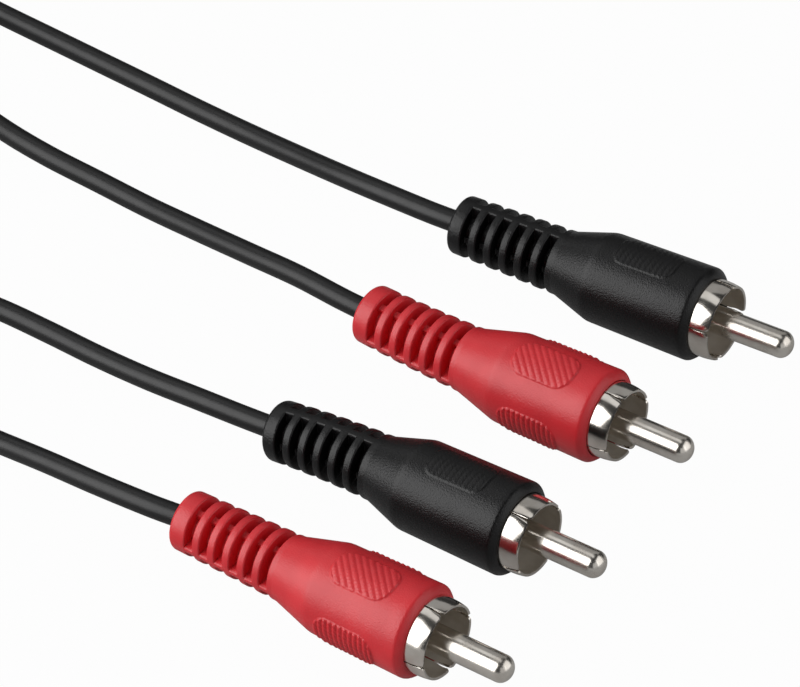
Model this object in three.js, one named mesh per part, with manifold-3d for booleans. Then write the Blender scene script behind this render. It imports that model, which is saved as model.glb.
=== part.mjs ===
import * as THREE from 'three';
import { mergeVertices } from 'three/addons/utils/BufferGeometryUtils.js';
import Module from 'manifold-3d';

// Stereo audio cable: two pairs of moulded phono plugs on one twin lead.
// Millimetres, +Z up. The plugs point along +X and stand in a row along Y on the floor z = 0.
// The origin is the middle of the row of plugs, on the floor.

const wasm = await Module();
wasm.setup();

// Driving dimensions

const GAP = 0.3;                  // clearance between neighbouring pieces
const SIDES = 20;                 // facets round a plug

const LEAD_R = 1.3;               // single round lead
const BEND_EASE = 0.05;           // extra room for the lead where the strain relief bends
const LEAD_BORE = LEAD_R + GAP + BEND_EASE;

const SLEEVE_WALL = 0.4;          // moulding left round the lead between the ribs
const CORE_R = LEAD_BORE + SLEEVE_WALL;
const RIB_HEIGHT = 1.45;
const BOOT_REAR_R = CORE_R + RIB_HEIGHT;
const BOOT_TAPER = 0.36;          // the strain relief grows by this towards the cone
const BOOT_FRONT_R = BOOT_REAR_R + BOOT_TAPER;
const BOOT_EDGE = 0.5;            // rounding of the rear end
const SLOT_COUNT = 6;
const SLOT_FIRST = 2.25;          // length of the solid rear collar
const SLOT_PITCH = 2.08;
const SLOT_WIDTH = 1.08;
const WEB_WIDTH = 1.35;           // full height webs above and below
const LOW_WEB_WIDTH = 0.8;        // sunken webs on the mould parting line
const LOW_WEB_HEIGHT = 0.7;

const CONE_FOOT = 0.47;           // plain stretch between the last slot and the cone
const CONE_START = SLOT_FIRST + (SLOT_COUNT - 1) * SLOT_PITCH + SLOT_WIDTH + CONE_FOOT;
const CONE_LENGTH = 4.55;
const CONE_END = CONE_START + CONE_LENGTH;
const CONE_EASE = 0.4;            // the cone runs softly into the body over this length

const SHELL_R = 4.5;              // ground contact
const SHELL_LEAN = 0.1;           // the petals lean in at the front edge
const LEAN_LENGTH = 1.6;
const SHEET = 0.35;               // nickel plated sheet
const SHELL_LENGTH = 10.05;
const SHELL_OUT = 2.45;           // how far it stands out of the moulding
const NECK_R = 3.1;               // narrow rear end of the shell
const NECK_LENGTH = 3.2;
const SLIT_WIDTH = 0.45;
const SLIT_LENGTH = 5.05;
const TAB_LENGTH = 4;             // solder tab
const TAB_WIDTH = 2.6;

const BODY_WALL = 0.77;
const BODY_FRONT_R = SHELL_R + GAP + BODY_WALL;
const BODY_TAPER = 0.21;
const BODY_REAR_R = BODY_FRONT_R - BODY_TAPER;
const BODY_LENGTH = 14.05;
const BODY_END = CONE_END + BODY_LENGTH;
const FRONT_EDGE_LENGTH = 0.95;   // rounded front edge, along the axis
const FRONT_EDGE_DEPTH = 0.42;    // and towards it

const PAD_LENGTH = 8.2;           // oblong grip pads
const PAD_WIDTH = 4.8;
const PAD_FROM_FRONT = 8.2;       // from the front ring to the middle of a pad
const PAD_MIDDLE = BODY_END - PAD_FROM_FRONT;
const PAD_RISE = 0.16;

const SHELL_END = BODY_END + SHELL_OUT;
const SHELL_REAR = SHELL_END - SHELL_LENGTH;
const SLIT_REAR = SHELL_END - SLIT_LENGTH;
const NECK_REAR = SHELL_REAR - NECK_LENGTH;

const PIN_R = 1.6;
const PIN_OUT = 8.55;             // from the shell's front edge to the tip
const PIN_TIP = SHELL_END + PIN_OUT;
const PIN_TAIL_LENGTH = 2.2;      // thinner rear end behind the neck, with the solder cup
const PIN_TAIL_R = 1.2;
const PIN_SHOULDER = 0.8;         // from the neck's rear edge to the full diameter
const PIN_REAR = NECK_REAR - PIN_TAIL_LENGTH;
const CUP_WALL = 0.32;
const CUP_R = PIN_TAIL_R - CUP_WALL;
const CUP_DEPTH = 2.6;
const DISC_LENGTH = 3.4;          // insulating disc inside the shell
const INSULATOR_END = SHELL_REAR + DISC_LENGTH;

const LEAD_GRIP = 1;              // the lead reaches this far past the start of the cone
const LEAD_END = CONE_START + LEAD_GRIP;
const BOOT_BEND_END = LEAD_END + 0.8;  // the soft strain relief bends behind this station
const SHIELD_R = 0.42;            // twisted shield wires

const TWIN_WIDTH = 2 * 2 * LEAD_R;
const COIL_MIDDLE = new THREE.Vector2(-152, 5.5);
const COIL_R = 30.3;              // middle of the turns
const COIL_PITCH = 2.7;
const COIL_TURNS_ACROSS = 4;
const COIL_LAYERS = 2;
const COIL_EDGE_R = COIL_R + (COIL_TURNS_ACROSS - 1) / 2 * COIL_PITCH;
const COIL_HALF = COIL_EDGE_R - COIL_R + LEAD_R;
const SPLIT_X = -125;             // where the twin lead parts into single leads
const TIE_THICKNESS = 0.7;
const TIE_WIDTH = 4;
const TIE_TAIL = 11;

// Plugs in the row. The roll turns the moulding, the slits turn the shell, and the bend
// is how far the soft rear end has moved along Y and Z.
const PLUGS = [
  { name: 'plug_1_black', colour: 0x1b1b1d, x: -24.2, y: 30.75, yaw: 2, roll: -3, slits: -17, bend: [0, 0] },
  { name: 'plug_2_red', colour: 0xc8343c, x: -23.6, y: 10.5, yaw: -0.5, roll: 111, slits: 13, bend: [0.7, 0] },
  { name: 'plug_3_black', colour: 0x1b1b1d, x: -20.7, y: -11.1, yaw: -1.5, roll: -3, slits: 27, bend: [0, -1.1] },
  { name: 'plug_4_red', colour: 0xc8343c, x: -19.5, y: -30.6, yaw: -2.3, roll: 111, slits: 10, bend: [0, 0] },
];

// Routes of the four single leads behind the plugs, down to the floor and on to the split.
const ROUTES = [
  [[-28, 30.75, 5.6], [-33.5, 31.1, 5.3], [-41, 32.2, 4.4], [-49, 34, 3], [-57.5, 35.7, 1.8],
    [-65.5, 36.8], [-73, 37.5], [-81, 38.2], [-89, 38.9], [-97, 39.6], [-104, 40.4], [-111, 41.1],
    [-118, 41.5], [SPLIT_X, 41.35]],
  [[-27.5, 11.6, 5.5], [-34.5, 12.8, 5.1], [-42.5, 14.3, 4], [-50.5, 16, 2.7], [-59, 17.6, 1.6],
    [-67, 18.7], [-75, 19.5], [-82, 20.7], [-89, 22.6], [-96, 25.4], [-103, 28.9], [-110, 32.8],
    [-115.5, 36], [-120.5, 38.2], [SPLIT_X, 38.35]],
  [[-25, -11, 4.3], [-32, -10.7, 3.8], [-39.5, -10, 2.9], [-47.5, -8.8, 1.9], [-55, -7.8, 1.4],
    [-62.5, -7.4], [-70, -8], [-77.5, -9.8], [-85, -12.6], [-92.5, -16], [-100, -19.6], [-108, -23.2],
    [-114.5, -26.2], [-120, -27.4], [SPLIT_X, -27.35]],
  [[-24, -30.8, 5.5], [-31.5, -30.5, 5], [-39.5, -29.4, 3.9], [-47.5, -28.2, 2.5], [-55.5, -27.3, 1.5],
    [-63.5, -27], [-71.5, -27.2], [-79.5, -27.9], [-87.5, -28.8], [-95.5, -29.7], [-103.5, -30.4],
    [-111, -30.7], [-118, -30.7], [SPLIT_X, -30.35]],
];

// Materials

const NICKEL = { color: 0xb9b4ac, roughness: 0.18, metalness: 1 };
const LEAD_BLACK = { color: 0x161617, roughness: 0.42, metalness: 0 };

// Closed meshes and solids

function welded(geometry) {
  const bare = geometry.clone();
  bare.deleteAttribute('normal');
  bare.deleteAttribute('uv');
  const merged = mergeVertices(bare, 1e-4);
  const corner = merged.index.array;
  const kept = [];
  for (let i = 0; i < corner.length; i += 3) {
    const [a, b, c] = corner.slice(i, i + 3);
    if (a !== b && b !== c && c !== a) kept.push(a, b, c);
  }
  merged.setIndex(kept);
  return merged;
}

function solid(geometry) {
  const mesh = welded(geometry);
  return new wasm.Manifold(new wasm.Mesh({
    numProp: 3,
    vertProperties: new Float32Array(mesh.attributes.position.array),
    triVerts: new Uint32Array(mesh.index.array),
  }));
}

function surface(body) {
  const mesh = body.getMesh();
  const geometry = new THREE.BufferGeometry();
  geometry.setAttribute('position', new THREE.BufferAttribute(mesh.vertProperties, 3));
  geometry.setIndex(new THREE.BufferAttribute(mesh.triVerts, 1));
  return geometry;
}

// A revolved piece on the X axis, from [station, radius] pairs.
function turned(profile, sides = SIDES) {
  const points = profile.map(([x, r]) => new THREE.Vector2(r, x));
  const geometry = new THREE.LatheGeometry(points, sides);
  geometry.rotateZ(-Math.PI / 2);
  return geometry;
}

// A ring of rectangular section, closed on itself.
function ring(from, to, inner, outer, sides = SIDES) {
  return turned([[from, inner], [from, outer], [to, outer], [to, inner], [from, inner]], sides);
}

function box(from, to, width, height, y = 0, z = 0) {
  const geometry = new THREE.BoxGeometry(to - from, width, height);
  geometry.translate((from + to) / 2, y, z);
  return geometry;
}

// Moulding: strain relief, cone, body and grip pads

function bodyRadius(x) {
  const t = (x - CONE_END) / (BODY_END - FRONT_EDGE_LENGTH - CONE_END);
  return BODY_REAR_R + t * (BODY_FRONT_R - BODY_REAR_R);
}

function mouldingBlank() {
  const chamber = NECK_R + GAP;
  const socket = SHELL_R + GAP;
  const chamberRear = LEAD_END - GAP;
  const front = [0, 0.5, 1].map((t) => [
    BODY_END - FRONT_EDGE_LENGTH * (1 - Math.sin(t * Math.PI / 2)),
    BODY_FRONT_R - FRONT_EDGE_DEPTH * (1 - Math.cos(t * Math.PI / 2)),
  ]);
  return solid(turned([
    [0, LEAD_BORE],
    [0, BOOT_REAR_R - BOOT_EDGE],
    [0.3 * BOOT_EDGE, BOOT_REAR_R - 0.3 * BOOT_EDGE],
    [BOOT_EDGE, BOOT_REAR_R],
    [CONE_START, BOOT_FRONT_R],
    [CONE_END - CONE_EASE, BODY_REAR_R - 0.1],
    [CONE_END + CONE_EASE, bodyRadius(CONE_END + CONE_EASE)],
    ...front,
    [BODY_END, socket],
    [SHELL_REAR - GAP, socket],
    [SHELL_REAR - GAP, chamber],
    [chamberRear, chamber],
    [chamberRear, LEAD_BORE],
    [0, LEAD_BORE],
  ]));
}

// Six ring slots, bridged by two full webs and two sunken ones.
function slotCutter() {
  let slots = null;
  for (let i = 0; i < SLOT_COUNT; i += 1) {
    const from = SLOT_FIRST + i * SLOT_PITCH;
    const slot = solid(ring(from, from + SLOT_WIDTH, CORE_R, BOOT_FRONT_R + 1));
    slots = slots ? slots.add(slot) : slot;
  }
  const end = SLOT_FIRST + SLOT_COUNT * SLOT_PITCH;
  const lowWebReach = 2 * (CORE_R + LOW_WEB_HEIGHT);
  const webs = solid(box(0, end, WEB_WIDTH, 3 * BOOT_FRONT_R));
  const lowWebs = solid(box(0, end, lowWebReach, LOW_WEB_WIDTH));
  return slots.subtract(webs).subtract(lowWebs);
}

// An oblong prism with round ends, standing along +Z over the grip pad.
function padPrism() {
  const straight = (PAD_LENGTH - PAD_WIDTH) / 2;
  const outline = new THREE.Shape();
  outline.absarc(straight, 0, PAD_WIDTH / 2, -Math.PI / 2, Math.PI / 2);
  outline.absarc(-straight, 0, PAD_WIDTH / 2, Math.PI / 2, 3 * Math.PI / 2);
  const prism = new THREE.ExtrudeGeometry(outline, {
    depth: 2 * BODY_FRONT_R, bevelEnabled: false, curveSegments: 5,
  });
  prism.translate(PAD_MIDDLE, 0, 0);
  return prism;
}

// Raised grip pads above, below and on the far side. The near side is left smooth.
function gripPads() {
  const from = PAD_MIDDLE - PAD_LENGTH / 2 - 0.5;
  const to = PAD_MIDDLE + PAD_LENGTH / 2 + 0.5;
  const root = BODY_REAR_R - BODY_WALL / 2;
  const skin = solid(turned([
    [from, root],
    [from, bodyRadius(from) + PAD_RISE],
    [to, bodyRadius(to) + PAD_RISE],
    [to, root],
    [from, root],
  ]));
  let prisms = null;
  for (const turn of [0, -90, 180]) {
    const prism = solid(padPrism().rotateX(THREE.MathUtils.degToRad(turn)));
    prisms = prisms ? prisms.add(prism) : prism;
  }
  return skin.intersect(prisms);
}

// The bend of the soft strain relief: it grows with the square of the distance.
function bentPoint(x, y, z, bend) {
  const back = Math.max(0, BOOT_BEND_END - x);
  const share = (back / BOOT_BEND_END) ** 2;
  const slope = 2 * back / BOOT_BEND_END ** 2;
  return new THREE.Vector3(
    x + slope * (bend[0] * y + bend[1] * z),
    y + share * bend[0],
    z + share * bend[1],
  );
}

function moulding(plug) {
  const body = mouldingBlank().subtract(slotCutter()).add(gripPads());
  const geometry = surface(body);
  geometry.rotateX(THREE.MathUtils.degToRad(plug.roll));
  const at = geometry.attributes.position;
  for (let i = 0; i < at.count; i += 1) {
    const p = bentPoint(at.getX(i), at.getY(i), at.getZ(i), plug.bend);
    at.setXYZ(i, p.x, p.y, p.z);
  }
  return geometry;
}

// Contacts

function groundShell() {
  const skirt = solid(turned([
    [SHELL_REAR, NECK_R - SHEET],
    [NECK_REAR, NECK_R - SHEET],
    [NECK_REAR, NECK_R],
    [SHELL_REAR, NECK_R],
    [SHELL_REAR, SHELL_R],
    [SHELL_END - LEAN_LENGTH, SHELL_R],
    [SHELL_END, SHELL_R - SHELL_LEAN],
    [SHELL_END, SHELL_R - SHELL_LEAN - SHEET],
    [SHELL_END - LEAN_LENGTH, SHELL_R - SHEET],
    [SHELL_REAR + SHEET, SHELL_R - SHEET],
    [SHELL_REAR + SHEET, NECK_R - SHEET],
    [SHELL_REAR, NECK_R - SHEET],
  ]));
  const slits = solid(box(SLIT_REAR, SHELL_END + 1, 3 * SHELL_R, SLIT_WIDTH))
    .add(solid(box(SLIT_REAR, SHELL_END + 1, SLIT_WIDTH, 3 * SHELL_R)));
  const tab = solid(box(NECK_REAR - TAB_LENGTH, NECK_REAR + 1, TAB_WIDTH, SHEET, 0, NECK_R - 0.75 * SHEET));
  return surface(skirt.subtract(slits).add(tab));
}

function insulator() {
  const bore = PIN_R + GAP;
  const spigot = NECK_R - SHEET - GAP;
  const disc = SHELL_R - SHEET - GAP;
  const step = SHELL_REAR + SHEET + GAP;
  return welded(turned([
    [NECK_REAR + GAP, bore],
    [NECK_REAR + GAP, spigot],
    [step, spigot],
    [step, disc],
    [INSULATOR_END - 0.3, disc],
    [INSULATOR_END, disc - 0.3],
    [INSULATOR_END, bore],
    [NECK_REAR + GAP, bore],
  ]));
}

function centrePin() {
  const tip = [15, 35, 55, 75].map((a) => THREE.MathUtils.degToRad(a)).map((a) => [
    PIN_TIP - PIN_R * (1 - Math.sin(a)),
    PIN_R * Math.cos(a),
  ]);
  return welded(turned([
    [PIN_REAR + CUP_DEPTH, 0],
    [PIN_REAR + CUP_DEPTH, CUP_R],
    [PIN_REAR, CUP_R],
    [PIN_REAR, PIN_TAIL_R],
    [NECK_REAR + PIN_SHOULDER, PIN_TAIL_R],
    [NECK_REAR + PIN_SHOULDER + PIN_R - PIN_TAIL_R, PIN_R],
    [PIN_TIP - PIN_R, PIN_R],
    ...tip,
    [PIN_TIP, 0],
  ], 16));
}

// Cords

function roundSection(radius, sides = 8) {
  const corners = [];
  for (let i = 0; i < sides; i += 1) {
    const a = (i + 0.5) * 2 * Math.PI / sides;
    corners.push(new THREE.Vector2(radius * Math.cos(a), radius * Math.sin(a)));
  }
  return new THREE.Shape(corners);
}

function swept(section, points, steps) {
  return new THREE.ExtrudeGeometry(section, {
    steps,
    bevelEnabled: false,
    extrudePath: new THREE.CatmullRomCurve3(points, false, 'centripetal'),
  });
}

function signalWire() {
  const points = [LEAD_END + GAP, PIN_REAR, PIN_REAR + CUP_DEPTH - GAP].map((x) => new THREE.Vector3(x, 0, 0));
  return swept(roundSection(CUP_R - GAP), points, 1);
}

// Twisted shield wires, laid from the lead's edge to the underside of the solder tab.
function shieldTail() {
  const underTab = NECK_R - 1.25 * SHEET - GAP - SHIELD_R;
  const atLead = LEAD_R + 0.1;
  const points = [
    new THREE.Vector3(LEAD_END + GAP, 0, atLead),
    new THREE.Vector3((LEAD_END + NECK_REAR - TAB_LENGTH) / 2, 0, (atLead + underTab) / 2),
    new THREE.Vector3(NECK_REAR - TAB_LENGTH + SHIELD_R, 0, underTab),
    new THREE.Vector3(NECK_REAR - SHIELD_R, 0, underTab),
  ];
  return swept(roundSection(SHIELD_R), points, 6);
}

// The bore of the moulding as seen from the row: a station on the plug's own axis.
function onAxis(plug, x) {
  const p = bentPoint(x, 0, 0, plug.bend);
  p.applyAxisAngle(new THREE.Vector3(0, 0, 1), THREE.MathUtils.degToRad(plug.yaw));
  return p.add(new THREE.Vector3(plug.x, plug.y, axisHeight(plug)));
}

// A plug lies on its lowest pad, or on its front edge where that side has none.
function axisHeight(plug) {
  return BODY_FRONT_R + (Math.abs(plug.roll) < 10 ? PAD_RISE : 0.01);
}

function lead(plug, route) {
  const inside = [LEAD_END, 10, 5, 0].map((x) => onAxis(plug, x));
  const outside = route.map(([x, y, z = LEAD_R]) => new THREE.Vector3(x, y, z));
  return swept(roundSection(LEAD_R), [...inside, ...outside], 17);
}

// Section of the twin lead lying flat: two round leads side by side.
function twinSection() {
  const half = TWIN_WIDTH / 2;
  const flat = 0.6 * LEAD_R;
  return new THREE.Shape([
    new THREE.Vector2(half, -flat),
    new THREE.Vector2(half, flat),
    new THREE.Vector2(LEAD_R, LEAD_R),
    new THREE.Vector2(-LEAD_R, LEAD_R),
    new THREE.Vector2(-half, flat),
    new THREE.Vector2(-half, -flat),
    new THREE.Vector2(-LEAD_R, -LEAD_R),
    new THREE.Vector2(LEAD_R, -LEAD_R),
  ]);
}

// End stretch of the twin lead, from the coil down to the split.
function twinRun(y, heightAtCoil) {
  const clear = COIL_EDGE_R + LEAD_R + GAP;
  const inner = Math.abs(y - COIL_MIDDLE.y) - TWIN_WIDTH / 2;
  const start = COIL_MIDDLE.x + Math.sqrt(clear ** 2 - inner ** 2) + GAP;
  const points = [
    new THREE.Vector3(start, y, heightAtCoil),
    new THREE.Vector3(SPLIT_X - GAP - TWIN_WIDTH, y, LEAD_R + 0.3),
    new THREE.Vector3(SPLIT_X - GAP, y, LEAD_R + 0.1),
  ];
  return swept(twinSection(), points, 3);
}

// Turns of the twin lead standing on edge, four across and two high.
function coil() {
  const inner = COIL_R - COIL_HALF;
  const outer = COIL_R + COIL_HALF;
  const bottom = TIE_THICKNESS + GAP;
  const top = bottom + COIL_LAYERS * TWIN_WIDTH;
  const edge = 0.8 * LEAD_R;
  const profile = [
    [inner, bottom + edge],
    [inner + edge, bottom],
    [outer - edge, bottom],
    [outer, bottom + edge],
    [outer, top - edge],
    [outer - edge, top],
    [inner + edge, top],
    [inner, top - edge],
    [inner, bottom + edge],
  ].map(([r, z]) => new THREE.Vector2(r, z));
  const geometry = new THREE.LatheGeometry(profile, 36);
  geometry.rotateX(Math.PI / 2);
  geometry.translate(COIL_MIDDLE.x, COIL_MIDDLE.y, 0);
  return welded(geometry);
}

// Ribbon tie round the turns, its twisted end lying on top.
function coilTie() {
  const t = TIE_THICKNESS;
  const half = COIL_HALF + GAP;
  const top = t + 2 * GAP + COIL_LAYERS * TWIN_WIDTH;
  const tailEnd = half - TIE_TAIL;
  const shape = (corners) => corners.map(([r, z]) => new THREE.Vector2(r, z));
  const outline = new THREE.Shape(shape([
    [-half - t, 2 * t], [-half + t, 0], [half - t, 0], [half + t, 2 * t],
    [half + t, top - t], [half, top + t],
    [tailEnd + 2 * t, top + t], [tailEnd, top + 2.6 * t], [tailEnd - t, top + 2.2 * t],
    [tailEnd + t, top + 0.6 * t], [-half, top + t], [-half - t, top - t],
  ]));
  outline.holes.push(new THREE.Path(shape([
    [-half, 2 * t + GAP], [-half, top - t], [-half + t, top], [half - t, top],
    [half, top - t], [half, 2 * t + GAP], [half - t - GAP, t], [-half + t + GAP, t],
  ])));
  const geometry = new THREE.ExtrudeGeometry(outline, { depth: TIE_WIDTH, bevelEnabled: false });
  geometry.rotateX(Math.PI / 2);
  geometry.translate(COIL_MIDDLE.x + COIL_R, COIL_MIDDLE.y + TIE_WIDTH / 2, 0);
  return geometry;
}

// Assembly

function named(name, geometry, look) {
  const mesh = new THREE.Mesh(geometry, new THREE.MeshStandardMaterial(look));
  mesh.name = name;
  return mesh;
}

function plugGroup(plug) {
  const group = new THREE.Group();
  const shell = named(`${plug.name}_ground_shell`, groundShell(), NICKEL);
  shell.rotation.x = THREE.MathUtils.degToRad(plug.slits);
  const tail = named(`${plug.name}_shield_tail`, shieldTail(), { color: 0xb06f45, roughness: 0.4, metalness: 1 });
  tail.rotation.x = THREE.MathUtils.degToRad(plug.slits);
  group.add(
    named(`${plug.name}_moulding`, moulding(plug), { color: plug.colour, roughness: 0.5, metalness: 0 }),
    shell,
    tail,
    named(`${plug.name}_insulator`, insulator(), { color: 0x1a1816, roughness: 0.6, metalness: 0 }),
    named(`${plug.name}_centre_pin`, centrePin(), NICKEL),
    named(`${plug.name}_signal_wire`, signalWire(), { color: 0xe8e4dc, roughness: 0.5, metalness: 0 }),
  );
  group.position.set(plug.x, plug.y, axisHeight(plug));
  group.rotation.z = THREE.MathUtils.degToRad(plug.yaw);
  return group;
}

const cable = new THREE.Group();
PLUGS.forEach((plug, i) => {
  cable.add(plugGroup(plug));
  cable.add(named(`lead_${i + 1}`, lead(plug, ROUTES[i]), LEAD_BLACK));
});

cable.add(
  named('twin_lead_run_a', twinRun(COIL_MIDDLE.y + COIL_EDGE_R, 1.8), LEAD_BLACK),
  named('twin_lead_run_b', twinRun(COIL_MIDDLE.y - COIL_EDGE_R, 2.5), LEAD_BLACK),
  named('twin_lead_coil', coil(), LEAD_BLACK),
  named('coil_tie', coilTie(), { color: 0x202022, roughness: 0.6, metalness: 0 }),
);

export default cable;
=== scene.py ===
# %% [markdown]
# # A stereo audio cable with four phono plugs
#
# Two black and two red plugs lie in a row, each on its own thin lead. The solids of the cable
# come in as a fixed frame. This script gives them their looks: moulded PVC, nickel plated
# contacts, soft black leads, and the light of a small studio.
#
# We load the frame first.

# %% Load the frame
import math

import bmesh
import bpy
import numpy as np
from mathutils import Matrix, Vector


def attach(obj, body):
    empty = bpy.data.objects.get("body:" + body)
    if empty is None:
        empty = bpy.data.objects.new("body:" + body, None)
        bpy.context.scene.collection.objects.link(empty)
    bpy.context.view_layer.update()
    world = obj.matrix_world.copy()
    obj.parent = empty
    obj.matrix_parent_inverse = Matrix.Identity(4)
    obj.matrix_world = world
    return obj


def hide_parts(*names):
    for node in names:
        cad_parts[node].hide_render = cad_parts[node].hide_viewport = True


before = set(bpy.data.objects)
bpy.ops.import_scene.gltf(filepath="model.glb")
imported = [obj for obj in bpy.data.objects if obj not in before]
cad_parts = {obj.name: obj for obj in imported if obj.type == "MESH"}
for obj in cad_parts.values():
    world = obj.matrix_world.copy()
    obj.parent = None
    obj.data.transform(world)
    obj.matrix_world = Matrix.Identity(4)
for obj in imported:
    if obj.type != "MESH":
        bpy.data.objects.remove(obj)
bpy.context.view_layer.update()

# %% [markdown]
# ## Camera
#
# A long lens far away keeps the four plugs nearly parallel, as in a product photograph. The
# camera looks down on the row from in front of the pins, on the side of the last red plug.
# We give it the point that it looks at, two angles and a distance, and `to_track_quat` turns
# its view axis to match.

# %% Camera
MM = 0.001
LOOK_AT = Vector((-17.63, 8.385, 5.6)) * MM
AZIMUTH = math.radians(34)
ELEVATION = math.radians(38)
DISTANCE = 0.85
LENS, SENSOR = 339, 36           # focal length and width of the sensor, in mm


def add_camera():
    flat = math.cos(ELEVATION)
    outward = Vector((math.sin(AZIMUTH) * flat, -math.cos(AZIMUTH) * flat, math.sin(ELEVATION)))
    camera = bpy.data.objects.new("camera", bpy.data.cameras.new("camera"))
    camera.data.lens = LENS
    camera.data.sensor_width = SENSOR
    camera.location = LOOK_AT + outward * DISTANCE
    camera.rotation_mode = "QUATERNION"
    camera.rotation_quaternion = outward.to_track_quat("Z", "Y")
    bpy.context.scene.collection.objects.link(camera)
    bpy.context.scene.camera = camera
    return camera


print("camera at, mm:", [round(1000 * x) for x in add_camera().location])

# %% [markdown]
# ## Maths on sockets
#
# Both shaders and Geometry Nodes are graphs of small operations. Written node by node they are
# hard to read, so one small class wraps an output socket and turns Python's operators into
# Math nodes. `0.5 + 0.5 * wave` then reads like the formula that it is. Any other node comes
# from one method of the graph, which takes the node's type, its settings and its inputs.


# %% Sockets with operators
class Value:
    """A node's output, with Python's operators for the Math nodes that it goes through."""

    def __init__(self, graph, socket):
        self.graph = graph
        self.socket = socket

    def maths(self, operation, *others):
        inputs = dict(enumerate((self, *others)))
        return self.graph.node("ShaderNodeMath", {"operation": operation}, inputs)

    def __add__(self, other):
        return self.maths("ADD", other)

    def __mul__(self, other):
        return self.maths("MULTIPLY", other)

    def __sub__(self, other):
        return self.maths("SUBTRACT", other)

    def __rsub__(self, other):
        return self * -1 + other

    def __truediv__(self, other):
        return self.maths("DIVIDE", other)

    def __abs__(self):
        return self.maths("ABSOLUTE")

    __radd__ = __add__
    __rmul__ = __mul__

    def sin(self):
        return self.maths("SINE")

    def cos(self):
        return self.maths("COSINE")

    def root(self):
        return self.higher(0).maths("SQRT")

    def round(self):
        return self.maths("ROUND")

    def lower(self, other):
        return self.maths("MINIMUM", other)

    def higher(self, other):
        return self.maths("MAXIMUM", other)

    def within(self, low, high):
        return self.higher(low).lower(high)

    def below(self, other):
        return self.maths("LESS_THAN", other)

    def above(self, other):
        return self.maths("GREATER_THAN", other)

    def ramp(self, start, end):
        """0 at start and 1 at end, with soft shoulders."""
        t = ((self - start) / (end - start)).within(0, 1)
        return t * t * (3 - 2 * t)


print("beside the operators:", ", ".join(name for name in vars(Value) if not name.startswith("_")))


# %% A node tree in expressions
class Graph:
    """A node tree that is written as expressions."""

    def __init__(self, tree):
        self.tree = tree

    def node(self, kind, settings=None, inputs=None, output=0):
        """A new node. Values among its inputs are linked, and one of its outputs comes back."""
        node = self.tree.nodes.new(kind)
        for name, value in (settings or {}).items():
            setattr(node, name, value)
        for key, value in (inputs or {}).items():
            if isinstance(value, Value):
                self.tree.links.new(value.socket, node.inputs[key])
            else:
                node.inputs[key].default_value = value
        return Value(self, node.outputs[output]) if node.outputs else node

    def parts(self, vector):
        """The three numbers of a vector."""
        node = self.tree.nodes.new("ShaderNodeSeparateXYZ")
        self.tree.links.new(vector.socket, node.inputs[0])
        return [Value(self, output) for output in node.outputs]

    def point(self, x, y, z):
        return self.node("ShaderNodeCombineXYZ", None, {"X": x, "Y": y, "Z": z})


print("a graph makes:", ", ".join(name for name in vars(Graph) if not name.startswith("_")))

# %% [markdown]
# ## Materials
#
# The plugs are flexible PVC from a spark eroded mould: satin, with a grain so fine that it only
# shows where the light grazes. The grain is noise on Object coordinates, in the bump and a
# little in the roughness. The contacts are bright nickel, a little softer on the pins and dull
# inside the shells, where a lighter, partly diffuse copy of the plating is painted light that
# brightens the cup. Plating is never perfectly even, so a slow noise moves its roughness and its
# tone by a hair. The leads are black PVC too, but drawn and not moulded, which leaves them
# smoother. Painted images could do all this as well, but noise needs no unwrapping and stays
# sharp at any distance.


# %% Helpers for materials
def linear(red, green, blue):
    """A screen colour, 0 to 255, as the linear values that shaders take."""
    parts = [c / 255 for c in (red, green, blue)]
    return tuple(c / 12.92 if c <= 0.04045 else ((c + 0.055) / 1.055) ** 2.4 for c in parts) + (1,)


def new_material(name):
    material = bpy.data.materials.new(name)
    material.use_nodes = True
    material.node_tree.nodes.clear()
    graph = Graph(material.node_tree)
    return material, graph, graph.node("ShaderNodeTexCoord", output="Object")


def finish_material(graph, varying, constants):
    """One Principled shader: what varies over the surface is linked, the rest is set."""
    shader = graph.node("ShaderNodeBsdfPrincipled", None, {**constants, **varying})
    graph.node("ShaderNodeOutputMaterial", None, {"Surface": shader})


def noise(graph, place, size, detail=2.0):
    """Noise between 0 and 1 whose grains are about size metres across."""
    return graph.node("ShaderNodeTexNoise", None, {
        "Vector": place, "Scale": 1 / size, "Detail": detail,
    })


def mix_colour(graph, factor, first, second):
    # A Mix node has a socket of each data type under one name, so these go by number:
    # 0 is the factor, 6 and 7 are the colours, and output 2 is the mixed colour.
    return graph.node(
        "ShaderNodeMix", {"data_type": "RGBA"}, {0: factor, 6: first, 7: second}, output=2)


def bump(graph, height, distance):
    return graph.node("ShaderNodeBump", None, {"Height": height, "Distance": distance})


print("half of white on the screen is", round(linear(128, 128, 128)[0], 2), "for a shader")


# %% Finishes
def moulded_pvc(name, colour, shade, roughness, gloss, grain_depth):
    material, graph, place = new_material(name)
    grain = noise(graph, place, 0.17 * MM, detail=1)
    flow = noise(graph, place, 4 * MM)
    tone = mix_colour(graph, flow.ramp(0.3, 0.7), colour, shade)
    finish_material(graph, {
        "Base Color": tone,
        "Roughness": roughness + 0.16 * (grain - 0.5) + 0.1 * (flow - 0.5),
        "Normal": bump(graph, grain + 0.25 * flow, grain_depth),
    }, {"IOR": 1.5, "Specular IOR Level": gloss})
    return material


def nickel_plate(name, light, dull, roughness, metallic=1.0):
    material, graph, place = new_material(name)
    cloud = noise(graph, place, 2.2 * MM)
    haze = noise(graph, place, 0.35 * MM, detail=3)
    tone = mix_colour(graph, cloud.ramp(0.3, 0.75), light, dull)
    finish_material(graph, {
        "Base Color": tone,
        "Roughness": roughness + 0.07 * cloud.ramp(0.35, 0.8) + 0.04 * haze,
        "Normal": bump(graph, haze, 0.0012 * MM),
    }, {"Metallic": metallic})
    return material


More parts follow.
